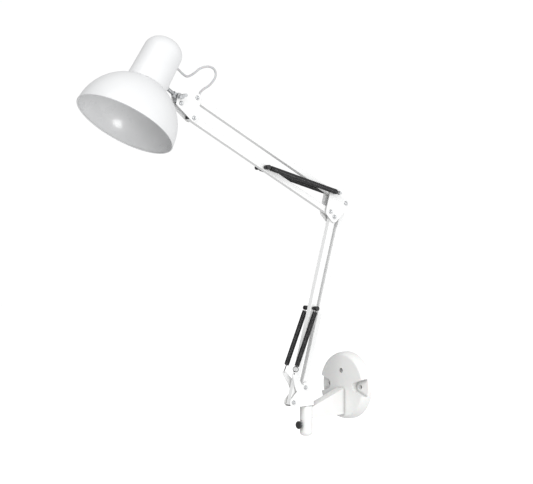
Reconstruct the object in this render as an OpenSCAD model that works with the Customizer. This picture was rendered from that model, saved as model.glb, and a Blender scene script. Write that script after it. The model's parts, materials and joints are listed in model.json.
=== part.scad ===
// White swing arm lamp for wall mounting, two spring balanced parallelogram arms and a dome shade.
// Millimetres. Origin at the centre of the wall plate's back face, +Z up, the wall is the plane
// y = 0 and the lamp stands out towards -Y. Points of the arm mechanism are given as [out, up]:
// the distance out from the wall and the height over the plate's centre.

/* [Wall bracket] */
// Diameter of the round wall plate
plate_d = 120; // [90:1:150]
// Thickness of the wall plate
plate_t = 20; // [10:1:30]
// Diameter of the flat front of the wall plate
plate_front_d = 107; // [80:1:140]
// Distance from the wall to the swivel axis
swivel_out = 101.5; // [70:0.5:140]
// Outside diameter of the swivel socket
socket_d = 22.4; // [16:0.5:30]
// Height of the socket's top face, below the plate's centre
socket_top = -29.5; // [-40:0.5:0]
// Height of the socket's lower end
socket_bottom = -82; // [-110:0.5:-60]
// Thickness of the web that carries the socket
web_t = 18.6; // [10:0.2:26]

/* [Clamp knob] */
// Diameter of the clamp knob
knob_d = 14; // [10:0.2:24]
// Height of the knob's axis
knob_z = -62; // [-75:0.5:-45]

/* [Arms] */
// Distance between the pivots of every arm tube
arm_l = 335; // [200:1:450]
// Outside width of the square arm tubes
tube_w = 10; // [8:0.5:16]
// Wall thickness of the arm tubes
tube_wall = 1; // [0.8:0.1:2]
// Lean of the lower arm over the horizontal, as drawn
lower_angle = 106.2; // [60:0.1:116]
// Rise of the upper arm over the horizontal, as drawn
upper_angle = 27.4; // [0:0.1:60]
// Diameter of the pivot rivets
rivet_d = 4; // [3:0.5:6]
// Diameter of the rivet heads
rivet_head_d = 7.6; // [6:0.2:10]
// Thickness of the bracket sheets
sheet_t = 1.5; // [1:0.1:3]
// Inside width of the brackets
bracket_in = 14; // [12:0.5:20]

/* [Springs] */
// Outside diameter of the balance springs
spring_d = 9; // [6:0.5:12]
// Sideways distance of the springs from the arm's middle plane
spring_x = 14; // [12:0.5:18]
// Distance of the lower spring pin from the front tube's lower pivot
lower_pin_at = 168.2; // [120:1:220]
// Distance of the upper spring pin from the main tube's lower pivot
upper_pin_at = 164.6; // [120:1:220]

/* [Shade] */
// Outside radius of the hemispherical shade
shade_r = 84.4; // [60:0.2:110]
// Thickness of the spun shade
shade_t = 1; // [0.8:0.1:2]
// Downward pitch of the shade's axis
shade_pitch = 58; // [0:1:90]
// Radius of the lamp housing at its base
housing_r = 34.5; // [28:0.5:40]
// Radius of the lamp housing where its crown begins
housing_top_r = 32.8; // [25:0.1:38]
// Height of the straight part of the housing
housing_h = 62; // [40:1:80]
// Height of the housing's rounded crown
crown_h = 25.5; // [10:0.5:32]

/* [Flex] */
// Diameter of the flex between housing and arm
flex_d = 3.8; // [3:0.1:6]

/* [Hidden] */
$fn = 96;

white = [0.93, 0.93, 0.92];
black = [0.06, 0.06, 0.06];
steel = [0.66, 0.66, 0.67];
brass = [0.80, 0.64, 0.32];
grey = [0.80, 0.80, 0.79];

run = 0.05;                             // running clearance, radial
out_x = bracket_in / 2 + sheet_t;       // outer face of the bracket sheets
head_t = 2;                             // thickness of a rivet head
recess = 1.5;                           // shallow recess in the plate's back, round the screw bosses

// pivots, [out, up]
p_rear = [swivel_out + 8.8, 4];         // base, rear tube
p_front = [swivel_out + 35.9, -20];     // base, front tube
a_rear = polar(p_rear, arm_l, lower_angle);
a_front = polar(p_front, arm_l, lower_angle);
b_main = a_rear + [35.9, -14.5];        // elbow, main upper tube
b_top = a_rear + [28.9, 18.8];          // elbow, top tube
b_spring = a_rear + [20, 18.2];         // elbow, spring pin
e_main = polar(b_main, arm_l, upper_angle);
e_top = polar(b_top, arm_l, upper_angle);
f_stop = e_main + [25.5, 23];           // head, front rivet
e_nose = e_main + [32, 22.5];           // head, lower front corner of the bracket
g_tilt = e_main + [27, 33.5];           // head, tilt axis
ear = [swivel_out + 39.5, 30.5];        // spring hole in the base bracket's ears
lower_pin = polar(p_front, lower_pin_at, lower_angle);
upper_pin = polar(b_main, upper_pin_at, upper_angle);

end_long = 5.5;                         // tube end past the pivot, base and head
end_short = 3.2;                        // tube end past the pivot, elbow

// shade: axis coordinates are [across, along], along = 0 at the rim, growing to the housing
rod_along = 95.2;
rod_across = 61.8;
shade_top = 76.9;                       // flat where the housing sits
crown_at = shade_top + housing_h;
rod_angle = 90 - shade_pitch;
rod_d = 6.4;
flex_along = 134;                       // where the flex leaves the housing
rim_centre = g_tilt + [rod_across * cos(rod_angle) + rod_along * cos(shade_pitch),
    rod_across * sin(rod_angle) - rod_along * sin(shade_pitch)];

// flex: hand routed loop in the middle plane, from inside the housing into the slot of the top tube
flex_way = [
    g_tilt + [8, 51], g_tilt + [3, 47.8], g_tilt + [-3, 44], g_tilt + [-11, 38],
    g_tilt + [-20, 34.5], g_tilt + [-32, 39.5], g_tilt + [-46, 49], g_tilt + [-61, 53],
    g_tilt + [-73, 50.5], g_tilt + [-78, 42.5], g_tilt + [-75, 33], g_tilt + [-65, 22.5],
    g_tilt + [-53, 15.5], g_tilt + [-46, 9.5], g_tilt + [-43.6, 3], g_tilt + [-42.2, -3]];

function polar(p, r, a) = p + r * [cos(a), sin(a)];

// ---- helpers ----

// a flat shape in [out, up], made solid from x0 to x1
module slab(x0, x1) translate([x1, 0, 0]) rotate([90, 0, -90]) linear_extrude(x1 - x0) children();

// a round bar along X at [out, up]
module bar(p, x0, x1, r) translate([x0, -p[0], p[1]]) rotate([0, 90, 0]) cylinder(h = x1 - x0, r = r);

// both sides of the middle plane
module both() { children(); mirror([1, 0, 0]) children(); }

// flat strap around two points: a circle at each, and sides 0.05 inside their common tangents
module strap(p, q, rp, rq) {
    v = q - p;
    a = atan2(v[1], v[0]);
    t = acos((rp - rq) / norm(v));
    translate(p) circle(rp);
    translate(q) circle(rq);
    polygon([polar(p, rp - 0.05, a + t), polar(p, rp - 0.05, a - t),
        polar(q, rq - 0.05, a - t), polar(q, rq - 0.05, a + t)]);
}

module rounded_square(w, r) {
    square([w, w - 2 * r], center = true);
    square([w - 2 * r, w], center = true);
    for (i = [-1, 1], j = [-1, 1]) translate([i, j] * (w / 2 - r)) circle(r);
}

// moves [x, along the arm from p, across] to the arm plane
module on_arm(p, angle) translate([0, -p[0], p[1]]) rotate([-angle, 0, 0]) mirror([0, 1, 0]) children();

module arm_tube(p, angle, e0, e1, pins) difference() {
    on_arm(p, angle) translate([0, -e0, 0]) rotate([-90, 0, 0]) difference() {
        linear_extrude(arm_l + e0 + e1) rounded_square(tube_w, 1);
        translate([0, 0, -1]) linear_extrude(arm_l + e0 + e1 + 2)
            rounded_square(tube_w - 2 * tube_wall, 0.4);
    }
    for (d = concat([0, arm_l], pins)) bar(polar(p, d, angle), -tube_w, tube_w, rivet_d / 2 + run);
}

// closing plugs in both ends of a tube, drilled for the rivets
module arm_plugs(p, angle, e0, e1, t0, t1) difference() {
    on_arm(p, angle) for (s = [[-e0, -1, t0], [arm_l + e1, 1, t1]]) translate([0, s[0], 0])
        rotate([-90 * s[1], 0, 0]) union() {
            linear_extrude(s[2]) rounded_square(tube_w, 1);
            translate([0, 0, -2.4]) linear_extrude(2.6)
                rounded_square(tube_w - 2 * tube_wall - 0.1, 0.4);
        }
    for (d = [0, arm_l]) bar(polar(p, d, angle), -tube_w, tube_w, rivet_d / 2 + run);
}

module rivet(p, head) {
    bar(p, -out_x - head / 2, out_x + head / 2, rivet_d / 2);
    both() translate([out_x, -p[0], p[1]]) rotate([0, 90, 0])
        cylinder(h = head, r1 = rivet_head_d / 2, r2 = rivet_head_d / 2 - 0.45 * head);
}

module washer(p) both() difference() {
    bar(p, tube_w / 2 + run, bracket_in / 2 - run, 4);
    bar(p, 0, bracket_in, rivet_d / 2 + run);
}

// spring from a to b with eyes at both ends, the eye at b may stand across
module spring(x, a, b, ra, rb, gap_a, gap_b, across_b) {
    v = b - a;
    l = norm(v);
    wire = 0.65;
    translate([x, -a[0], a[1]]) rotate([-atan2(v[1], v[0]), 0, 0]) mirror([0, 1, 0]) {
        rotate([-90, 0, 0]) translate([0, 0, gap_a]) difference() {
            cylinder(h = l - gap_a - gap_b, r = spring_d / 2);
            translate([0, 0, -1]) cylinder(h = l, r = spring_d / 2 - 1.3);
            translate([0, 0, l - gap_a - gap_b - 3]) cylinder(h = 9, r = spring_d / 2 - 1.3);
        }
        for (s = [[0, gap_a], [l, l - gap_b]]) translate([0, s[1], 0]) rotate([-90, 0, 0])
            translate([0, 0, s[0] == 0 ? 0 : -1.3]) cylinder(h = 1.3, r = spring_d / 2 - 1.2);
        translate([0, 0.25, 0]) rotate([0, 90, 0]) rotate_extrude() translate([ra, 0]) circle(wire);
        translate([0, ra + 0.25, 0]) rotate([-90, 0, 0]) cylinder(h = gap_a - ra + 0.6, r = wire);
        translate([0, l - (across_b ? rb : 0.8), 0]) rotate([0, across_b ? 0 : 90, 0])
            rotate_extrude() translate([rb, 0]) circle(wire);
        translate([0, l - gap_b - 0.6, 0]) rotate([-90, 0, 0])
            cylinder(h = gap_b + 0.6 - (across_b ? 2 : 1) * rb - (across_b ? 0 : 0.8), r = wire);
    }
}

module pin_caps(p) both() difference() {
    translate([0, -p[0], p[1]]) rotate([0, 90, 0]) rotate_extrude() polygon([
        [0, tube_w / 2 + 0.2], [2.9, tube_w / 2 + 0.2], [2.9, 8.8], [4, 9.2], [4, 12.6], [2.6, 13],
        [2.6, 15], [4, 15.4], [4, 18], [3.2, 18.8], [0, 18.8]]);
    bar(p, 0, 17, 1.5 + run);
}

// moves the shade's own axis (Z up to the housing, [0, 0, 0] at the rim) into place
module on_shade() translate([0, -rim_centre[0], rim_centre[1]]) rotate([-(90 - shade_pitch), 0, 0])
    children();

// along the rod from the tilt axis, Z towards the housing
module on_rod() translate([0, -g_tilt[0], g_tilt[1]]) rotate([90 - rod_angle, 0, 0]) children();

// ---- wall bracket ----

module plate_body() rotate([90, 0, 0]) rotate_extrude() polygon(concat(
    [[0, 0], [plate_d / 2, 0]],
    [for (i = [0 : 8]) [plate_front_d / 2 + (plate_d - plate_front_d) / 2 * cos(i * 11.25),
        6 + (plate_t - 6) * sin(i * 11.25)]],
    [[0, plate_t]]));

module side_pocket() translate([0, -9.5, 0]) rotate([90, 0, 0]) linear_extrude(plate_t) union() {
    translate([38, 0]) circle(9);
    polygon([[36, 8.8], [36, -8.8], [66, -18.5], [66, 18.5]]);
}

module screw_hole(x, z, seat) translate([x, 1, z]) rotate([90, 0, 0]) union() {
    cylinder(h = plate_t + 2, r = 2.5);
    translate([0, 0, seat - 1.2]) cylinder(h = 2.21, r1 = 2.5, r2 = 4.3);
    translate([0, 0, seat + 1]) cylinder(h = 12, r = 4.3);
}

// the round plate with its three screw places
module wall_plate() color(white) difference() {
    union() {
        difference() {
            plate_body();
            rotate([90, 0, 0]) translate([0, 0, -1]) cylinder(h = 1 + recess, r = plate_d / 2 - 4);
        }
        for (p = [[-40, 0], [40, 0], [0, 0], [0, 27]]) translate([p[0], 0, p[1]]) rotate([90, 0, 0])
            cylinder(h = 4, r = 8);
    }
    both() side_pocket();
    for (x = [-40, 40]) screw_hole(x, 0, 8.3);
    screw_hole(0, 27, plate_t - 3);
}

// web and swivel socket, standing out from the plate
module plate_arm() color(white) difference() {
    union() {
        slab(-web_t / 2, web_t / 2) polygon([[plate_t, -3.6], [swivel_out - 5, -31.5],
            [swivel_out - 5, -50], [plate_t, -50.5]]);
        translate([0, -swivel_out, 0]) rotate_extrude() polygon(concat(
            [[0, socket_top], [socket_d / 2 - 0.6, socket_top], [socket_d / 2, socket_top - 0.6]],
            [for (i = [0 : 6]) [socket_d / 2 - 7 + 7 * cos(i * 15), socket_bottom + 7 - 7 * sin(i * 15)]],
            [[0, socket_bottom]]));
    }
    translate([0, -swivel_out, socket_bottom + 6]) cylinder(h = 100, r = 6 + run);
    translate([0, -swivel_out, knob_z]) rotate([90, 0, 0]) cylinder(h = 30, r = 3 + run);
    translate([0, -swivel_out - socket_d / 2 + 1.2, knob_z + 7]) rotate([90, 0, 0])
        cylinder(h = 5, r = 0.9);
}

module clamp_screw() color(steel) translate([0, -swivel_out - 6.15, knob_z]) rotate([90, 0, 0])
    cylinder(h = 12, r = 3);

module clamp_knob() color(black) difference() {
    translate([0, -swivel_out - 15.4, knob_z]) rotate([90, 0, 0])
        rotate_extrude() polygon([[0, -1.2], [4.2, -1.2], [4.6, 0], [knob_d / 2 - 0.8, 0],
            [knob_d / 2, 0.8], [knob_d / 2, 3], [knob_d / 2 - 1.4, 4.1], [0, 4.5]]);
    translate([0, -swivel_out, knob_z]) rotate([90, 0, 0]) cylinder(h = 18.2, r = 3);
}

// ---- base ----

module swivel_pin() color(steel) translate([0, -swivel_out, 0]) {
    translate([0, 0, socket_bottom + 7.5]) cylinder(h = socket_top - socket_bottom - 7.4, r = 6);
    translate([0, 0, socket_top]) cylinder(h = 2.9, r = 3);
    translate([0, 0, socket_top + 2.3]) cylinder(h = 1.6, r1 = 5, r2 = 4.2);
}

module swivel_washer() color(steel) translate([0, -swivel_out, socket_top + 0.1]) difference() {
    cylinder(h = 0.7, r = 9.4);
    translate([0, 0, -1]) cylinder(h = 3, r = 3 + run);
}

module base_bracket() color(white) difference() {
    union() {
        both() slab(bracket_in / 2, out_x) union() {
            strap(p_rear, p_front, 9, 8);
            polygon([[swivel_out - 2, socket_top + 0.8], [swivel_out + 20, socket_top + 0.8],
                p_front + [0, -8], p_front + [0, 4], p_rear + [4, 4], p_rear + [-9, 0],
                [swivel_out - 6, socket_top + 8]]);
        }
        both() intersection() {
            slab(4, 20) strap(p_rear + [14, 0], ear - [0.8, 0.8], 8, 4);
            translate([0, -swivel_out - 5, 0]) rotate([90, 0, 0]) linear_extrude(50) polygon([
                [bracket_in / 2, -12], [out_x, -12], [out_x, 8], [spring_x + 1.6, 36],
                [spring_x + 0.1, 36], [bracket_in / 2, 8]]);
        }
        translate([-out_x, -swivel_out - 10, socket_top + 0.8]) cube([2 * out_x, 20, sheet_t]);
        both() slab(bracket_in / 2, out_x) polygon([[swivel_out - 10, socket_top + 0.8],
            [swivel_out + 10, socket_top + 0.8], [swivel_out + 10, -10], [swivel_out, -10],
            [swivel_out - 10, -22]]);
    }
    for (p = [p_rear, p_front]) bar(p, -20, 20, rivet_d / 2 + run);
    bar(ear, -20, 20, 1.8);
    translate([0, -swivel_out, socket_top]) cylinder(h = 4, r = 3 + run);
    both() bar(p_rear + [5.5, 5.5], 5, 20, 1);
}

module base_rivets() color(steel) for (p = [p_rear, p_front]) rivet(p, head_t);
module base_washers() color(grey) for (p = [p_rear, p_front]) washer(p);

// ---- lower arm ----

module lower_rear_tube() color(white) arm_tube(p_rear, lower_angle, end_long, end_short, []);
module lower_rear_plugs() color(black)
    arm_plugs(p_rear, lower_angle, end_long, end_short, 1.2, 0.6);
module lower_front_tube() color(white)
    arm_tube(p_front, lower_angle, end_long, end_short, [lower_pin_at]);
module lower_front_plugs() color(black)
    arm_plugs(p_front, lower_angle, end_long, end_short, 1.2, 0.6);
module lower_spring_pin() color(steel) bar(lower_pin, -16.9, 16.9, 1.5);
module lower_pin_caps() color(black) pin_caps(lower_pin);
module lower_spring_right() color(steel)
    spring(spring_x, lower_pin, ear, 3.5, 4.6, 5.2, 13.5, true);
module lower_spring_left() color(steel)
    spring(-spring_x, lower_pin, ear, 3.5, 4.6, 5.2, 13.5, true);

// ---- elbow ----

module elbow_bracket() color(white) difference() {
    corner = b_spring + [-10, -1];
    union() {
        both() slab(bracket_in / 2, out_x) union() {
            strap(a_rear, corner, 10, 8);
            strap(corner, b_top, 8, 7.8);
            strap(b_top, b_main, 7.8, 10);
            strap(b_main, a_front, 10, 9.8);
            strap(a_front, a_rear, 9.8, 10);
            polygon([a_rear, corner, b_top, b_main, a_front]);
        }
        translate([-out_x, -corner[0] - 8, corner[1] + 7.6 - sheet_t]) cube([2 * out_x, 10, sheet_t]);
    }
    for (p = [a_rear, a_front, b_main, b_top]) bar(p, -20, 20, rivet_d / 2 + run);
    bar(b_spring, -20, 20, 1.5 + run);
}

module elbow_rivets() color(steel) {
    for (p = [a_rear, a_front, b_main]) rivet(p, head_t);
    rivet(b_top, 0.8);                  // flat heads here, the springs pass over them
}
module elbow_washers() color(grey) for (p = [a_rear, a_front, b_main, b_top]) washer(p);
module elbow_spring_pin() color(steel) {
    bar(b_spring, -18, 18, 1.5);
    both() bar(b_spring, 16.6, 18, 2.6);
}

// ---- upper arm ----

module upper_main_tube() color(white)
    arm_tube(b_main, upper_angle, end_short, end_long, [upper_pin_at]);
module upper_main_plugs() color(black)
    arm_plugs(b_main, upper_angle, end_short, end_long, 0.6, 1.2);
module upper_top_tube() color(white) difference() {
    arm_tube(b_top, upper_angle, end_short, end_long, []);
    // slot where the flex goes in
    on_arm(b_top, upper_angle) translate([-2.6, arm_l - 12, 2]) cube([5.2, 8.6, 6]);
}
module upper_top_plugs() color(black)
    arm_plugs(b_top, upper_angle, end_short, end_long, 0.6, 1.2);
module upper_spring_pin() color(steel) bar(upper_pin, -16.9, 16.9, 1.5);
module upper_pin_caps() color(black) pin_caps(upper_pin);
module upper_spring_right() color(steel)
    spring(spring_x, upper_pin, b_spring, 3.5, 3, 5.2, 6, false);
module upper_spring_left() color(steel)
    spring(-spring_x, upper_pin, b_spring, 3.5, 3, 5.2, 6, false);

// ---- head ----

module head_bracket() color(white) difference() {
    union() {
        both() slab(bracket_in / 2, out_x) union() {
            strap(e_top, e_main, 7.5, 6.2);
            strap(e_main, e_nose, 6.2, 3.2);
            strap(e_nose, g_tilt, 3.2, 5);
            strap(g_tilt, e_top, 5, 7.5);
            polygon([e_top, e_main, e_nose, g_tilt]);
        }
        translate([-out_x, -e_top[0] - 24, e_top[1] + 4.4]) cube([2 * out_x, 14, sheet_t]);
    }
    for (p = [e_top, e_main, f_stop]) bar(p, -20, 20, rivet_d / 2 + run);
    bar(g_tilt, -20, 20, 2.5 + run);
}

module head_rivets() color(steel) for (p = [e_top, e_main, f_stop]) rivet(p, head_t);
module head_washers() color(grey) for (p = [e_top, e_main]) washer(p);

module tilt_bolt() color(steel) {
    bar(g_tilt, -out_x - 2, 18.4, 2.5);
    bar(g_tilt, -out_x - 2.8, -out_x - run, 4.2);
}

module wing_nut() color(steel) difference() {
    union() {
        translate([out_x + run, -g_tilt[0], g_tilt[1]]) rotate([0, 90, 0])
            cylinder(h = 7.4, r1 = 4.2, r2 = 3.4);
        slab(out_x + 4, out_x + 9.4) difference() {
            strap(g_tilt + [-5.6, 2.4], g_tilt + [5.6, -1.2], 2.6, 2.6);
            translate(g_tilt) circle(2);
        }
    }
    bar(g_tilt, 0, 30, 2.5);
}

module tilt_lug() color(steel) difference() {
    union() {
        slab(-5, 5) strap(g_tilt + [-0.6, 1.5], g_tilt + [1.2, -5], 5.4, 3.1);
        on_rod() translate([0, 0, 3]) cylinder(h = 7.5, r = 4.6);
    }
    bar(g_tilt, -20, 20, 2.5 + run);
    on_rod() translate([0, 0, 5]) cylinder(h = 20, r = rod_d / 2);
}

module shade_rod() color(steel) on_rod() translate([0, 0, 5])
    cylinder(h = rod_across - housing_r + 1.6, r = rod_d / 2);

module rod_nut() color(steel) on_rod() translate([0, 0, rod_across - housing_r - 0.3]) difference() {
    translate([0, 0, -3]) cylinder(h = 3, r = 5.2, $fn = 6);
    translate([0, 0, -4]) cylinder(h = 6, r = rod_d / 2);
}

module shade() color(white) on_shade() {
    difference() {
        intersection() {
            sphere(shade_r, $fn = 180);
            translate([0, 0, 0]) cylinder(h = shade_top, r = shade_r + 5);
        }
        intersection() {
            sphere(shade_r - shade_t, $fn = 180);
            translate([0, 0, -1]) cylinder(h = shade_top - shade_t + 1, r = shade_r + 5);
        }
        cylinder(h = 100, r = 20);
    }
    translate([0, 0, 0.6]) rotate_extrude($fn = 180) translate([shade_r - shade_t / 2, 0])
        circle(1.1, $fn = 24);
}

module lamp_housing() color(white) difference() {
    on_shade() difference() {
        rotate_extrude() polygon(concat(
            [[0, shade_top + 0.1], [housing_r - 0.4, shade_top + 0.1], [housing_r, shade_top + 0.5]],
            [for (i = [0 : 9]) [housing_top_r * cos(i * 10), crown_at + crown_h * sin(i * 10)]]));
        rotate_extrude() polygon(concat(
            [[0, shade_top + 1.4], [housing_r - 1.4, shade_top + 1.4]],
            [for (i = [0 : 9]) [(housing_top_r - 1.2) * cos(i * 10),
                crown_at + (crown_h - 1.2) * sin(i * 10)]]));
        cylinder(h = 100, r = 20);
    }
    on_rod() cylinder(h = rod_across - 20, r = rod_d / 2);
    on_shade() translate([0, 0, flex_along]) rotate([-90, 0, 0]) cylinder(h = 60, r = 3.4);
}

module housing_grommet() color(white) on_shade() translate([0, 29.6, flex_along])
    rotate([-90, 0, 0]) difference() {
        union() {
            cylinder(h = 4.2, r = 3.3);
            translate([0, 0, 3.5]) cylinder(h = 1.6, r1 = 4.4, r2 = 3.4);
        }
        translate([0, 0, -1]) cylinder(h = 9, r = flex_d / 2 + 0.35);
    }

module lamp_holder() color(white) on_shade() difference() {
    union() {
        translate([0, 0, 60]) cylinder(h = 50, r = 19);
        translate([0, 0, 110]) cylinder(h = 8, r1 = 17, r2 = 10);
        translate([0, 0, shade_top + 1.5]) cylinder(h = 3, r = 26);
    }
    translate([0, 0, 59]) cylinder(h = 33, r = 14.4);
}

module holder_ring() color(white) on_shade() translate([0, 0, shade_top - shade_t - 4.2]) difference() {
    union() {
        cylinder(h = 4, r = 23);
        translate([0, 0, 3]) cylinder(h = 1, r = 25);
    }
    translate([0, 0, -1]) cylinder(h = 6, r = 19.1);
}

module holder_shell() color(brass) on_shade() translate([0, 0, 64]) difference() {
    cylinder(h = 24, r = 14.3);
    translate([0, 0, -1]) cylinder(h = 26, r = 13.5);
}

module holder_contact() color(brass) on_shade() translate([0, 0, 88.6]) cylinder(h = 3.3, r = 4);

// ---- flex ----

function spline(p, t) = let (n = len(p) - 1, i = min(n - 1, floor(t)), f = t - i,
    a = p[max(i - 1, 0)], b = p[i], c = p[i + 1], d = p[min(i + 2, n)])
    0.5 * ((2 * b) + (c - a) * f + (2 * a - 5 * b + 4 * c - d) * f * f
        + (3 * b - a - 3 * c + d) * f * f * f);

module flex() color(grey) {
    n = 60;
    sides = 8;
    m = len(flex_way) - 1;
    q = [for (i = [0 : n]) spline(flex_way, m * i / n)];
    pts = [for (i = [0 : n]) let (t = q[min(i + 1, n)] - q[max(i - 1, 0)], k = t / norm(t))
        for (j = [0 : sides - 1]) let (w = 360 * j / sides, s = flex_d / 2 * cos(w))
            [flex_d / 2 * sin(w), -(q[i][0] - k[1] * s), q[i][1] + k[0] * s]];
    faces = concat([[for (j = [0 : sides - 1]) j]],
        [for (i = [0 : n - 1], j = [0 : sides - 1]) let (k = (j + 1) % sides)
            [i * sides + j, (i + 1) * sides + j, (i + 1) * sides + k, i * sides + k]],
        [[for (j = [sides - 1 : -1 : 0]) n * sides + j]]);
    polyhedron(pts, faces);
}

wall_plate();
plate_arm();
clamp_screw();
clamp_knob();
swivel_pin();
swivel_washer();
base_bracket();
base_rivets();
base_washers();
lower_rear_tube();
lower_rear_plugs();
lower_front_tube();
lower_front_plugs();
lower_spring_pin();
lower_pin_caps();
lower_spring_right();
lower_spring_left();
elbow_bracket();
elbow_rivets();
elbow_washers();
elbow_spring_pin();
upper_main_tube();
upper_main_plugs();
upper_spring_pin();
upper_pin_caps();
upper_spring_right();
upper_spring_left();
upper_top_tube();
upper_top_plugs();
head_bracket();
head_rivets();
head_washers();
tilt_bolt();
wing_nut();
tilt_lug();
shade_rod();
rod_nut();
shade();
lamp_housing();
lamp_holder();
holder_ring();
holder_shell();
holder_contact();
housing_grommet();
flex();
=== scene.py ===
"""White swing arm lamp for wall mounting: looks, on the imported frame."""
import json
import math
import bmesh
import bpy
import numpy as np
from mathutils import Matrix, Vector


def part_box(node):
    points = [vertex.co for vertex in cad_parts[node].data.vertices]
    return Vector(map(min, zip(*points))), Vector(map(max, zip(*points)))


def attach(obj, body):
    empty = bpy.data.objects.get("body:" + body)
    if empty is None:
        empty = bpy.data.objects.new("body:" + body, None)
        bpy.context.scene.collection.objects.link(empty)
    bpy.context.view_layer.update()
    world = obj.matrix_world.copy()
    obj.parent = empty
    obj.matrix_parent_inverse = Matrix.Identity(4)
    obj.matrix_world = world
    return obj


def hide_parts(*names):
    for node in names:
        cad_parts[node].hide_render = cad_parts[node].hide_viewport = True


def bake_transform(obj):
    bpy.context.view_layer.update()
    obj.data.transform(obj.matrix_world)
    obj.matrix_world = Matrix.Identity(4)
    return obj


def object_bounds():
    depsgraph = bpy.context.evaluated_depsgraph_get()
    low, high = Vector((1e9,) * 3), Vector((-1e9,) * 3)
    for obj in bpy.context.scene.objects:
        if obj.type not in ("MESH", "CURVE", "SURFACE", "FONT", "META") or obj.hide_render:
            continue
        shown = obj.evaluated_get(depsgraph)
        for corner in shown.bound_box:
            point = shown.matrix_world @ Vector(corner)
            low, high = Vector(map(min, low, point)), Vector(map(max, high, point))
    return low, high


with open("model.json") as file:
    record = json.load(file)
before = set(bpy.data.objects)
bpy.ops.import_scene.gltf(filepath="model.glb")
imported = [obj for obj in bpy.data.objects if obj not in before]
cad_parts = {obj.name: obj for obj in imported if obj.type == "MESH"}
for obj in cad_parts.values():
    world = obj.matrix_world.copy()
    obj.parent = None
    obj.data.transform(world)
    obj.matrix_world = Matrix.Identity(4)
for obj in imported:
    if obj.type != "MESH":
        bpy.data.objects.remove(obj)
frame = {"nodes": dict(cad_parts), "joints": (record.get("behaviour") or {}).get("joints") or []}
cad_box = [list(c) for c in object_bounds()]
nodes = frame["nodes"]
scene = bpy.context.scene
MM = 0.001

# ---- camera, solved from the photo's plate, tubes and shade rim ----

SENSOR, LENS = 36, 100.547
AZIMUTH, ELEVATION = math.radians(51.2227), math.radians(1.5134)
CAMERA_AT = (1.98677, -1.78712, 0.32675)

cam_data = bpy.data.cameras.new("camera")
cam = bpy.data.objects.new("camera", cam_data)
scene.collection.objects.link(cam)
cam_data.sensor_width = SENSOR
cam_data.lens = LENS
back = Vector((math.sin(AZIMUTH) * math.cos(ELEVATION), -math.cos(AZIMUTH) * math.cos(ELEVATION),
               math.sin(ELEVATION)))
cam.rotation_mode = "QUATERNION"
cam.rotation_quaternion = (-back).to_track_quat("-Z", "Y")
cam.location = CAMERA_AT
cam_data.clip_start, cam_data.clip_end = 0.05, 30
scene.camera = cam

# ---- places ----


def at(out, up, x=0.0):
    """A point from its distance out from the wall, height and side, in millimetres."""
    return Vector((x, -out, up)) * MM


def middle(node):
    lo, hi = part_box(node)
    return (lo + hi) / 2


joint = {j["name"]: Vector(j["pos_m"]) for j in frame["joints"]}
g_tilt = joint["shade_tilt"]
lower_pivot = joint["lower_arm"]
upper_pivot = joint["upper_arm"]
lower_pin, upper_pin = middle("lower_spring_pin"), middle("upper_spring_pin")
elbow_pin = middle("elbow_spring_pin")
EAR_OUT, EAR_UP = 3.6, 50.5  # hooks of the lower springs, from the lower arm's pivot
ear = lower_pivot + at(EAR_OUT, EAR_UP)
SPRING_X = 14 * MM
PITCH = math.radians(32)     # how far the threaded rod points up, and the shade leans
ROD_REACH = 61.8             # from the tilt pivot along the rod to the shade's axis
RIM_DROP = 95.2              # from there down the axis to the rim

rod_dir = Vector((0, -math.cos(PITCH), math.sin(PITCH)))
shade_up = Vector((0, math.sin(PITCH), math.cos(PITCH)))
rim_centre = g_tilt + rod_dir * ROD_REACH * MM - shade_up * RIM_DROP * MM
on_shade = (Matrix.Translation(rim_centre) @ Matrix.Rotation(-PITCH, 4, "X")
            @ Matrix.Scale(MM, 4))

# ---- mesh helpers ----


def finish_mesh(name, bm, body, material, smooth_deg=38):
    """An object from bm, smooth up to smooth_deg, that rides body if one is given."""
    bmesh.ops.remove_doubles(bm, verts=bm.verts, dist=1e-7)
    bmesh.ops.recalc_face_normals(bm, faces=bm.faces)
    me = bpy.data.meshes.new(name)
    bm.to_mesh(me)
    bm.free()
    obj = bpy.data.objects.new(name, me)
    scene.collection.objects.link(obj)
    for p in me.polygons:
        p.use_smooth = True
    me.set_sharp_from_angle(angle=math.radians(smooth_deg))
    me.materials.append(material)
    if body:
        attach(obj, body)
    return obj


def lathe(bm, profile, matrix, n=96, radius=None, closed=False):
    """Turns (r, z) points about Z. radius(r, z, angle) may change the radius round the axis."""
    rings = []
    for r, z in profile:
        if r < 1e-6:
            rings.append([bm.verts.new(matrix @ Vector((0, 0, z)))])
            continue
        ring = []
        for i in range(n):
            a = 2 * math.pi * i / n
            q = radius(r, z, a) if radius else r
            ring.append(bm.verts.new(matrix @ Vector((q * math.cos(a), q * math.sin(a), z))))
        rings.append(ring)
    pairs = list(zip(rings, rings[1:])) + ([(rings[-1], rings[0])] if closed else [])
    for a, b in pairs:
        for i in range(n):
            k = (i + 1) % n
            if len(a) == 1 and len(b) == 1:
                break
            if len(a) == 1:
                bm.faces.new((a[0], b[k], b[i]))
            elif len(b) == 1:
                bm.faces.new((a[i], a[k], b[0]))
            else:
                bm.faces.new((a[i], a[k], b[k], b[i]))


def frames(points):
    """Directions and steady side vectors along a path."""
    n = len(points)
    tangents = [(points[min(i + 1, n - 1)] - points[max(i - 1, 0)]).normalized() for i in range(n)]
    side = tangents[0].orthogonal().normalized()
    sides = []
    for t in tangents:
        side = (side - t * side.dot(t)).normalized()
        sides.append(side)
    return tangents, sides


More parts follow.
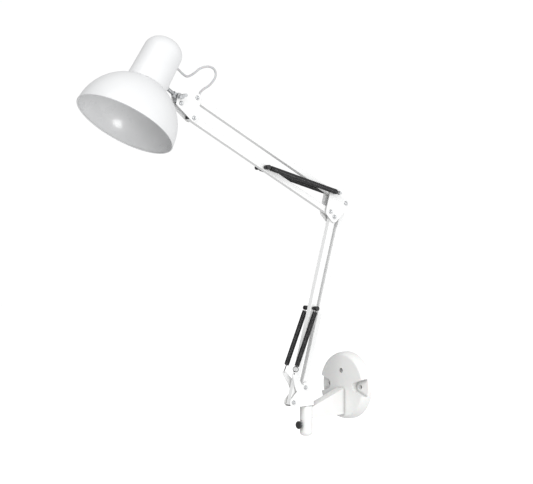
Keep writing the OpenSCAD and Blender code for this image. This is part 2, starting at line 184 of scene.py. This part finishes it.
def tube(bm, points, r, n=8):
    """A round bar along points, with closed ends."""
    tangents, sides = frames(points)
    rings = []
    for p, t, s in zip(points, tangents, sides):
        o = t.cross(s)
        ring = []
        for i in range(n):
            a = 2 * math.pi * i / n
            ring.append(bm.verts.new(p + (s * math.cos(a) + o * math.sin(a)) * r))
        rings.append(ring)
    for a, b in zip(rings, rings[1:]):
        for i in range(n):
            k = (i + 1) % n
            bm.faces.new((a[i], a[k], b[k], b[i]))
    bm.faces.new(rings[0][::-1])
    bm.faces.new(rings[-1])


def spline(p, t):
    """Point of the Catmull-Rom curve through p, at t counted in points."""
    n = len(p) - 1
    i = min(n - 1, int(t))
    f = t - i
    a, b, c, d = p[max(i - 1, 0)], p[i], p[i + 1], p[min(i + 2, n)]
    return 0.5 * (2 * b + (c - a) * f + (2 * a - 5 * b + 4 * c - d) * f * f
                  + (3 * b - a - 3 * c + d) * f ** 3)


# ---- materials ----

MIX_A, MIX_B, MIX_RESULT = 6, 7, 2  # colour sockets of the Mix node


def material(name, base, tone, rough, metallic=0.0, tone_scale=18.0, grain=700.0, bump=0.08,
             rough_spread=0.06, recess_shade=0.35, recess_shade_reach=0.006, wear=None, coat=0.0, brushed=None,
             specular=0.5, wear_amount=0.5, subsurface=0.0):
    """Painted, moulded or plated surface: uneven tone, fine grain, painted shade in recesses and
    between parts, rubbed edges.
    """
    m = bpy.data.materials.new(name)
    m.use_nodes = True
    nt = m.node_tree
    link = nt.links.new
    b = nt.nodes["Principled BSDF"]
    b.inputs["Metallic"].default_value = metallic
    b.inputs["Specular IOR Level"].default_value = specular
    b.inputs["Coat Weight"].default_value = coat
    b.inputs["Coat Roughness"].default_value = 0.12
    if subsurface:
        b.inputs["Subsurface Weight"].default_value = subsurface
        b.inputs["Subsurface Scale"].default_value = 0.002

    def add(kind, **values):
        n = nt.nodes.new("ShaderNode" + kind)
        for k, v in values.items():
            if k in n.inputs:
                n.inputs[k].default_value = v
            else:
                setattr(n, k, v)
        return n

    place = add("TexCoord").outputs["Object"]

    def noise(scale, detail=3.0, roughness=0.55, stretch=None):
        n = add("TexNoise", Scale=scale, Detail=detail, Roughness=roughness)
        if stretch:
            mp = add("Mapping", Scale=stretch)
            link(place, mp.inputs["Vector"])
            link(mp.outputs["Vector"], n.inputs["Vector"])
        else:
            link(place, n.inputs["Vector"])
        return n.outputs["Fac"]

    def ranged(value, a, c, to0, to1):
        r = add("MapRange")
        r.inputs["From Min"].default_value = a
        r.inputs["From Max"].default_value = c
        r.inputs["To Min"].default_value = to0
        r.inputs["To Max"].default_value = to1
        link(value, r.inputs["Value"])
        return r.outputs["Result"]

    def mixed(factor, one, two):
        x = add("Mix", data_type="RGBA")
        link(factor, x.inputs["Factor"])
        for socket, v in ((x.inputs[MIX_A], one), (x.inputs[MIX_B], two)):
            if isinstance(v, tuple):
                socket.default_value = (*v, 1)
            else:
                link(v, socket)
        return x.outputs[MIX_RESULT]

    def times(p, q):
        x = add("Math", operation="MULTIPLY")
        link(p, x.inputs[0])
        link(q, x.inputs[1])
        return x.outputs[0]

    colour = mixed(ranged(noise(tone_scale), 0.35, 0.65, 0.0, 1.0), base, tone)
    # painted shade: ambient occlusion darkens the colour, a little warmer, in recesses, creases and
    # between parts
    if recess_shade:
        ao = add("AmbientOcclusion", samples=8, Distance=recess_shade_reach)
        shaded_colour = tuple(c * (1 - recess_shade) * k for c, k in zip(base, (1.0, 0.99, 0.965)))
        colour = mixed(ranged(ao.outputs["AO"], 0.15, 0.85, 0.0, 1.0), shaded_colour, colour)
    if wear:
        edge = add("AmbientOcclusion", samples=6, inside=True, Distance=0.0007)
        rubbed = times(ranged(edge.outputs["AO"], 0.75, 0.45, 0.0, 1.0),
                       ranged(noise(90.0, 5.0, 0.7), 0.52, 0.72, 0.0, wear_amount))
        colour = mixed(rubbed, colour, wear)
    link(colour, b.inputs["Base Color"])
    uneven = noise(900.0, 2.0, 0.5, brushed) if brushed else noise(45.0, 5.0, 0.65)
    link(ranged(uneven, 0.3, 0.7, rough - rough_spread, rough + rough_spread),
         b.inputs["Roughness"])
    fine = add("Bump", Strength=bump, Distance=0.0002)
    link(noise(grain, 2.0, 0.5, brushed), fine.inputs["Height"])
    coarse = add("Bump", Strength=bump * 0.6, Distance=0.0008)
    link(noise(grain / 9, 2.0, 0.5), coarse.inputs["Height"])
    link(fine.outputs["Normal"], coarse.inputs["Normal"])
    link(coarse.outputs["Normal"], b.inputs["Normal"])
    return m


enamel = material("white_enamel", (0.775, 0.777, 0.775), (0.755, 0.758, 0.758), 0.40, grain=620.0,
                  bump=0.10, wear=(0.50, 0.50, 0.49), wear_amount=0.35, coat=0.08, recess_shade=0.38)
# painted shade: dome and housing are the arms' white enamel, made darker to stand in for shade; the
# inside is the same enamel, glossier and also darker than the arms'
dome_enamel_painted_shade = material("dome_enamel_painted_shade", (0.640, 0.645, 0.650), (0.622, 0.627, 0.633), 0.42,
                        grain=520.0, bump=0.07, wear=(0.55, 0.55, 0.54), wear_amount=0.3,
                        recess_shade=0.25)
inside_enamel_painted_shade = material("inside_enamel_painted_shade", (0.680, 0.684, 0.690), (0.662, 0.667, 0.673), 0.30,
                         grain=480.0, bump=0.04, wear=(0.55, 0.55, 0.54), wear_amount=0.2,
                         coat=0.6, recess_shade=0.1)
white_plastic = material("white_plastic", (0.775, 0.775, 0.768), (0.755, 0.755, 0.746), 0.42,
                         grain=950.0, bump=0.16, wear=(0.70, 0.70, 0.69), wear_amount=0.3,
                         recess_shade=0.75, recess_shade_reach=0.009, subsurface=0.04)
black_plastic = material("black_plastic", (0.016, 0.016, 0.017), (0.024, 0.024, 0.024), 0.40,
                         grain=1100.0, bump=0.22, wear=(0.09, 0.09, 0.09), recess_shade=0.2)
zinc = material("zinc_steel", (0.60, 0.61, 0.62), (0.50, 0.51, 0.52), 0.32, 1.0, tone_scale=120.0,
                grain=1400.0, bump=0.12, rough_spread=0.12, wear=(0.66, 0.66, 0.66), recess_shade=0.6,
                brushed=(0.15, 1.0, 1.0))
spring_steel = material("spring_steel", (0.030, 0.030, 0.031), (0.050, 0.050, 0.051), 0.22, 0.8,
                        tone_scale=160.0, grain=1600.0, bump=0.10, rough_spread=0.10,
                        wear=(0.20, 0.19, 0.18), recess_shade=0.5, recess_shade_reach=0.002)
nylon = material("nylon", (0.62, 0.62, 0.60), (0.55, 0.55, 0.53), 0.50, grain=900.0, bump=0.12,
                 wear=(0.7, 0.7, 0.69), recess_shade=0.5, subsurface=0.08)
holder_plastic = material("holder_plastic", (0.70, 0.70, 0.68), (0.66, 0.66, 0.63), 0.38,
                          grain=800.0, bump=0.10, wear=(0.6, 0.6, 0.58), recess_shade=0.45)
brass = material("brass", (0.62, 0.45, 0.19), (0.47, 0.33, 0.14), 0.34, 1.0, tone_scale=90.0,
                 grain=1300.0, bump=0.10, rough_spread=0.12, wear=(0.78, 0.62, 0.33), recess_shade=0.4)
flex_pvc = material("flex_pvc", (0.47, 0.47, 0.48), (0.43, 0.43, 0.44), 0.42, grain=800.0,
                    bump=0.14, wear=(0.66, 0.66, 0.66), recess_shade=0.4, subsurface=0.05)

FINISH = {
    "wall_plate": white_plastic, "plate_arm": white_plastic,
    "clamp_screw": zinc, "swivel_pin": zinc, "swivel_washer": zinc, "base_rivets": zinc,
    "lower_spring_pin": zinc, "elbow_rivets": zinc, "elbow_spring_pin": zinc,
    "upper_spring_pin": zinc, "head_rivets": zinc, "tilt_bolt": zinc, "wing_nut": zinc,
    "tilt_lug": zinc, "shade_rod": zinc, "rod_nut": zinc,
    "clamp_knob": black_plastic,
    "lower_rear_plugs": black_plastic, "lower_front_plugs": black_plastic,
    "upper_main_plugs": black_plastic, "upper_top_plugs": black_plastic,
    "lower_pin_caps": black_plastic, "upper_pin_caps": black_plastic,
    "base_washers": nylon, "elbow_washers": nylon, "head_washers": nylon, "housing_grommet": nylon,
    "lamp_holder": holder_plastic, "holder_ring": holder_plastic,
    "holder_shell": brass, "holder_contact": brass, "flex": flex_pvc,
    "lower_spring_right": spring_steel, "lower_spring_left": spring_steel,
    "upper_spring_right": spring_steel, "upper_spring_left": spring_steel,
}
for name, node in nodes.items():
    node.data.materials.clear()
    node.data.materials.append(FINISH.get(name, enamel))

# ---- flex between housing and arm ----

FLEX_R = 1.9 * MM
FLEX_STEPS = 120
# out and up from the tilt pivot, from inside the housing to inside the upper top tube
WAY = [(8, 51), (3, 47.8), (-3, 44), (-11, 38), (-20, 34.5), (-32, 39.5), (-46, 49), (-61, 53),
       (-73, 50.5), (-78, 42.5), (-75, 33), (-65, 22.5), (-53, 15.5), (-46, 9.5),
       (-43.6, 3), (-42.2, -3)]
way = [g_tilt + at(*p) for p in WAY]
path = [spline(way, (len(way) - 1) * i / FLEX_STEPS) for i in range(FLEX_STEPS + 1)]
bm = bmesh.new()
tube(bm, path, FLEX_R, 16)
flex = finish_mesh("flex_loop", bm, None, flex_pvc)
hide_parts("flex")
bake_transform(flex)

# ---- balance springs ----

WIRE = 0.62 * MM
COIL_R = 4.5 * MM - WIRE
TURN_STEPS, EYE_STEPS = 16, 24


def spring(name, side, a, b, ring_a, ring_b, gap_a, gap_b, across):
    """Close wound spring from the pin at a to b, with an eye at each end.

    ring_a and ring_b are the eyes' radii, and gap_a and gap_b the room they take. Where across is
    true, the eye at b is turned round the spring's line and a hook joins it to the ear.
    """
    a, b = a.copy(), b.copy()
    a.x = b.x = side * SPRING_X
    u = (b - a).normalized()
    length = (b - a).length
    x = Vector((1, 0, 0))
    w = x.cross(u)

    def spot(along, i, j):
        return a + u * along + x * i + w * j

    pts = []
    for k in range(EYE_STEPS + 1):
        t = math.radians(30 + 330 * k / EYE_STEPS)
        pts.append(spot(0.25 * MM + ring_a * math.cos(t), 0.25 * MM * (1 - k / EYE_STEPS),
                        ring_a * math.sin(t)))
    c0, c1 = gap_a + WIRE, length - gap_b - WIRE
    pitch = 2.06 * WIRE
    turns = (c1 - c0) / pitch
    steps = int(turns * TURN_STEPS)
    for k in range(steps + 1):
        q = k / TURN_STEPS
        r = COIL_R * min(1.0, 0.15 + q / 0.7, 0.15 + (turns - q) / 0.7)
        t = 2 * math.pi * q
        pts.append(spot(c0 + (c1 - c0) * k / steps, r * math.cos(t), r * math.sin(t)))
    if across:
        centre = length - gap_b + ring_b + 0.4 * MM
        turn = math.radians(54 if side > 0 else -36)
        flat = (math.cos(turn), math.sin(turn))
        for k in range(EYE_STEPS + 1):
            t = math.radians(180 - 350 * k / EYE_STEPS)
            j = ring_b * math.sin(t)
            pts.append(spot(centre + ring_b * math.cos(t), j * flat[0], j * flat[1]))
        hook = [spot(centre + ring_b + d * MM, i * MM, 0) for d, i in
                ((-1.4, 0.0), (-0.9, -0.7), (0.1, -0.9), (1.4, -0.5), (2.8, 0.0), (4.0, 0.2))]
    else:
        hook = None
        centre = length - 0.8 * MM
        for k in range(EYE_STEPS + 1):
            t = math.radians(180 - 335 * k / EYE_STEPS)
            pts.append(spot(centre + ring_b * math.cos(t), 0.2 * MM * k / EYE_STEPS,
                            ring_b * math.sin(t)))
    bm = bmesh.new()
    tube(bm, pts, WIRE, 6)
    if hook:
        tube(bm, hook, WIRE, 6)
    obj = finish_mesh(name + "_coil", bm, None, spring_steel, 60)
    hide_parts(name)
    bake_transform(obj)


for label, side in (("right", 1), ("left", -1)):
    spring("lower_spring_" + label, side, lower_pin, ear, 3.5 * MM, 4.6 * MM, 5.2 * MM, 13.5 * MM,
           True)
    spring("upper_spring_" + label, side, upper_pin, elbow_pin, 3.5 * MM, 3 * MM, 5.2 * MM, 6 * MM,
           False)

# ---- shade and housing ----

# millimetres, z up the shade's axis from its rim
R, T, TOP = 84.4, 1.0, 76.9     # dome radius, sheet, height of the flat top
HOLE = 20                       # radius of the opening between dome and housing
WALL, CROWN_H = 62, 25.5        # height of the housing's wall and of its rounded end
HR, HT = 34.5, 32.8             # its radius at the dome and at the top of the wall
FOOT = TOP + 0.15               # underside of the housing
IN_FOOT, IN_R = TOP + 1.4, HR - 1.4
SKIN = 1.2
CROWN = TOP + WALL
outer = [(R * math.cos(t), R * math.sin(t)) for t in
         np.linspace(math.asin(TOP / R) - 0.012, math.asin(2.2 / R), 60)]
inner = [((R - T) * math.cos(t), (R - T) * math.sin(t)) for t in
         np.linspace(math.asin(2.4 / (R - T)), math.asin((TOP - T) / (R - T)) - 0.015, 60)]
bead = [(R - T / 2 + 1.1 * math.cos(t), 0.6 + 1.1 * math.sin(t)) for t in
        np.linspace(math.radians(55), math.radians(-235), 18)]
profile = ([(HOLE, TOP - T), (HOLE, TOP - 0.2), (20.2, TOP), (33.4, TOP)] + outer + bead + inner
           + [(33.0, TOP - T)])
bm = bmesh.new()
lathe(bm, profile, on_shade, 160, closed=True)
shade = finish_mesh("dome_shade", bm, "shade_head", dome_enamel_painted_shade, 50)
shade.data.materials.append(inside_enamel_painted_shade)
to_rim = on_shade.inverted()
for p in shade.data.polygons:
    c = to_rim @ p.center
    inside = c.length < R - T / 2 and 2 < c.z < TOP - T / 2
    if inside and math.hypot(c.x, c.y) > HOLE + 0.5:
        p.material_index = 1
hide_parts("shade")

wall = [(HR - 0.5, FOOT), (HR - 0.1, TOP + 0.35), (HR, TOP + 0.9)]
wall += [(HR + (HT - HR) * k / 8, TOP + 0.9 + (WALL - 0.9) * k / 8) for k in range(1, 9)]
crown = [(HT * math.cos(t), CROWN + CROWN_H * math.sin(t))
         for t in np.linspace(0.05, math.pi / 2, 30)]
crown[-1] = (0, CROWN + CROWN_H)
back_in = [((HT - SKIN) * math.cos(t), CROWN + (CROWN_H - SKIN) * math.sin(t))
           for t in np.linspace(math.pi / 2, 0, 20)]
back_in[0] = (0, CROWN + CROWN_H - SKIN)
profile = [(HOLE, FOOT)] + wall + crown
bm = bmesh.new()
lathe(bm, profile, on_shade, 128)
lathe(bm, [(IN_R, IN_FOOT), (HOLE, IN_FOOT)], on_shade, 128)
lathe(bm, back_in + [(IN_R, IN_FOOT)], on_shade, 128)
lathe(bm, [(HOLE, IN_FOOT), (HOLE, FOOT)], on_shade, 128)
housing = finish_mesh("housing_cover", bm, "shade_head", dome_enamel_painted_shade, 50)
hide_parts("lamp_housing")

# ---- threaded rod ----

on_rod = (Matrix.Translation(g_tilt) @ Matrix.Rotation(math.radians(90) - PITCH, 4, "X")
          @ Matrix.Scale(MM, 4))
bm = bmesh.new()
THREAD, DEPTH = 1.25, 0.62       # pitch and depth of the thread
ROD_START, ROD_R, ROD_TIP = 5, 3.2, 2.5
length = ROD_REACH - HR + 1.6


def thread(r, z, a):
    q = (z / THREAD - a / (2 * math.pi)) % 1.0
    return r - DEPTH * abs(2 * q - 1)


steps = int(length / THREAD * 8)
profile = [(0, ROD_START), (ROD_TIP, ROD_START)]
profile += [(ROD_R, 5.1 + (length - 0.2) * k / steps) for k in range(steps + 1)]
profile += [(ROD_TIP, ROD_START + length), (0, ROD_START + length)]
lathe(bm, profile, on_rod, 32, radius=lambda r, z, a: thread(r, z, a) if r > 3 else r)
rod = finish_mesh("threaded_rod", bm, "shade_head", zinc, 60)
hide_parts("shade_rod")

# ---- rivets ----

lower_way = joint["elbow_level"] - lower_pivot
rear_foot, top_foot = joint["lower_rear_link"], joint["upper_top_link"]
head_pivot = joint["head_level"]
upper_way = head_pivot - upper_pivot
stop = head_pivot + at(25.5, 23)
# node: (body, [(place, how high the head on the near side is)])
RIVETS = {
    "base_rivets": ("base", [(lower_pivot, 2), (rear_foot, 2)]),
    "elbow_rivets": ("elbow", [(joint["elbow_level"], 2), (rear_foot + lower_way, 2),
                               (upper_pivot, 2), (top_foot, 0.8)]),
    "head_rivets": ("head", [(head_pivot, 2), (top_foot + upper_way, 2), (stop, 2)]),
}
SHEET = 8.5  # half of the width over a bracket's two sheets
HALF_HEAD = [(0, 0.45), (1.1, 0.47), (1.6, 0.62), (1.95, 0.92), (2.4, 1.0), (3.0, 0.92),
             (3.5, 0.66), (3.78, 0.3), (3.8, 0.04), (2.0, 0.02)]
for name, (body, places) in RIVETS.items():
    bm = bmesh.new()
    for place, head in places:
        turned = (Matrix.Translation((0, place.y, place.z)) @ Matrix.Rotation(math.pi / 2, 4, "Y")
                  @ Matrix.Scale(MM, 4))
        side = [(r, SHEET + head * h) for r, h in HALF_HEAD]
        lathe(bm, side + [(r, -z) for r, z in side[::-1]], turned, 40)
    made = finish_mesh(name + "_rolled", bm, body, zinc, 50)
    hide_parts(name)

# ---- clamp knob ----

lo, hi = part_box("clamp_knob")
knob_at = Vector(((lo.x + hi.x) / 2, hi.y - 1.2 * MM, (lo.z + hi.z) / 2))
on_knob = (Matrix.Translation(knob_at) @ Matrix.Rotation(math.radians(90), 4, "X")
           @ Matrix.Scale(MM, 4))
RIBS, RIB_DEPTH, RIBS_FROM = 18, 0.35, 6.3
bm = bmesh.new()


def grip(r, z, a):
    return r - (RIB_DEPTH * (0.5 - 0.5 * math.cos(RIBS * a)) if r > RIBS_FROM else 0)


lathe(bm, [(3, -1.2), (4.1, -1.2), (4.5, -0.2), (6.2, 0), (6.75, 0.3), (7, 0.9), (7, 2.9),
           (6.7, 3.5), (6.0, 4.0), (4.6, 4.25), (2.0, 4.3), (1.6, 4.1), (0, 4.1), (0, 2.8), (3, 2.8)],
      on_knob, 144, radius=grip, closed=True)
knob = finish_mesh("knurled_knob", bm, "clamp", black_plastic, 40)
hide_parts("clamp_knob")

# ---- floor and light ----

FLOOR_GAP, FLOOR_GLOW = 0.22, 0.45
bm = bmesh.new()
floor_z = cad_box[0][2] - FLOOR_GAP
bmesh.ops.create_grid(bm, x_segments=1, y_segments=1, size=6)
floor_paint = material("floor_paint", (0.90, 0.90, 0.90), (0.89, 0.89, 0.89), 0.9, recess_shade=0,
                       bump=0.02)
glow = floor_paint.node_tree.nodes["Principled BSDF"]
glow.inputs["Emission Color"].default_value = (1, 1, 1, 1)
glow.inputs["Emission Strength"].default_value = FLOOR_GLOW
glow.inputs["Specular IOR Level"].default_value = 0.0
floor = finish_mesh("floor", bm, None, floor_paint)
floor.location = (0, 0, floor_z)
floor.visible_diffuse = floor.visible_glossy = False

# the camera sees plain white; the lamp is lit more from LIT_FROM than from the other side
LIT_FROM, ROOM_LOW, ROOM_HIGH, WHITE = (0.80, 0.54, -0.26), 0.36, 1.24, 1.02
world = bpy.data.worlds.new("studio")
scene.world = world
world.use_nodes = True
tree = world.node_tree
room = tree.nodes["Background"]
room.inputs["Color"].default_value = (1, 1, 1, 1)
facing = tree.nodes.new("ShaderNodeTexCoord")
toward = tree.nodes.new("ShaderNodeVectorMath")
toward.operation = "DOT_PRODUCT"
toward.inputs[1].default_value = Vector(LIT_FROM).normalized()
level = tree.nodes.new("ShaderNodeMapRange")
for socket, value in (("From Min", -1.0), ("From Max", 1.0),
                      ("To Min", ROOM_LOW), ("To Max", ROOM_HIGH)):
    level.inputs[socket].default_value = value
tree.links.new(facing.outputs["Generated"], toward.inputs[0])
tree.links.new(toward.outputs["Value"], level.inputs["Value"])
tree.links.new(level.outputs["Result"], room.inputs["Strength"])
white = tree.nodes.new("ShaderNodeBackground")
white.inputs["Color"].default_value = (1, 1, 1, 1)
white.inputs["Strength"].default_value = WHITE
seen = tree.nodes.new("ShaderNodeLightPath")
either = tree.nodes.new("ShaderNodeMixShader")
tree.links.new(seen.outputs["Is Camera Ray"], either.inputs["Fac"])
tree.links.new(room.outputs[0], either.inputs[1])
tree.links.new(white.outputs[0], either.inputs[2])
tree.links.new(either.outputs[0], tree.nodes["World Output"].inputs["Surface"])
scene.view_settings.view_transform = "Standard"


def softbox(name, location, aim, size, power):
    data = bpy.data.lights.new(name, "AREA")
    data.shape, data.size, data.size_y, data.energy = "RECTANGLE", size[0], size[1], power
    obj = bpy.data.objects.new(name, data)
    scene.collection.objects.link(obj)
    obj.location = location
    obj.rotation_euler = (Vector(aim) - Vector(location)).to_track_quat("-Z", "Y").to_euler()


softbox("key", (2.4, -1.2, 0.25), (0, -0.4, 0.4), (0.9, 0.8), 21)
softbox("front", (1.0, -2.4, 2.25), (0, -0.3, 0.3), (1.4, 1.4), 46)
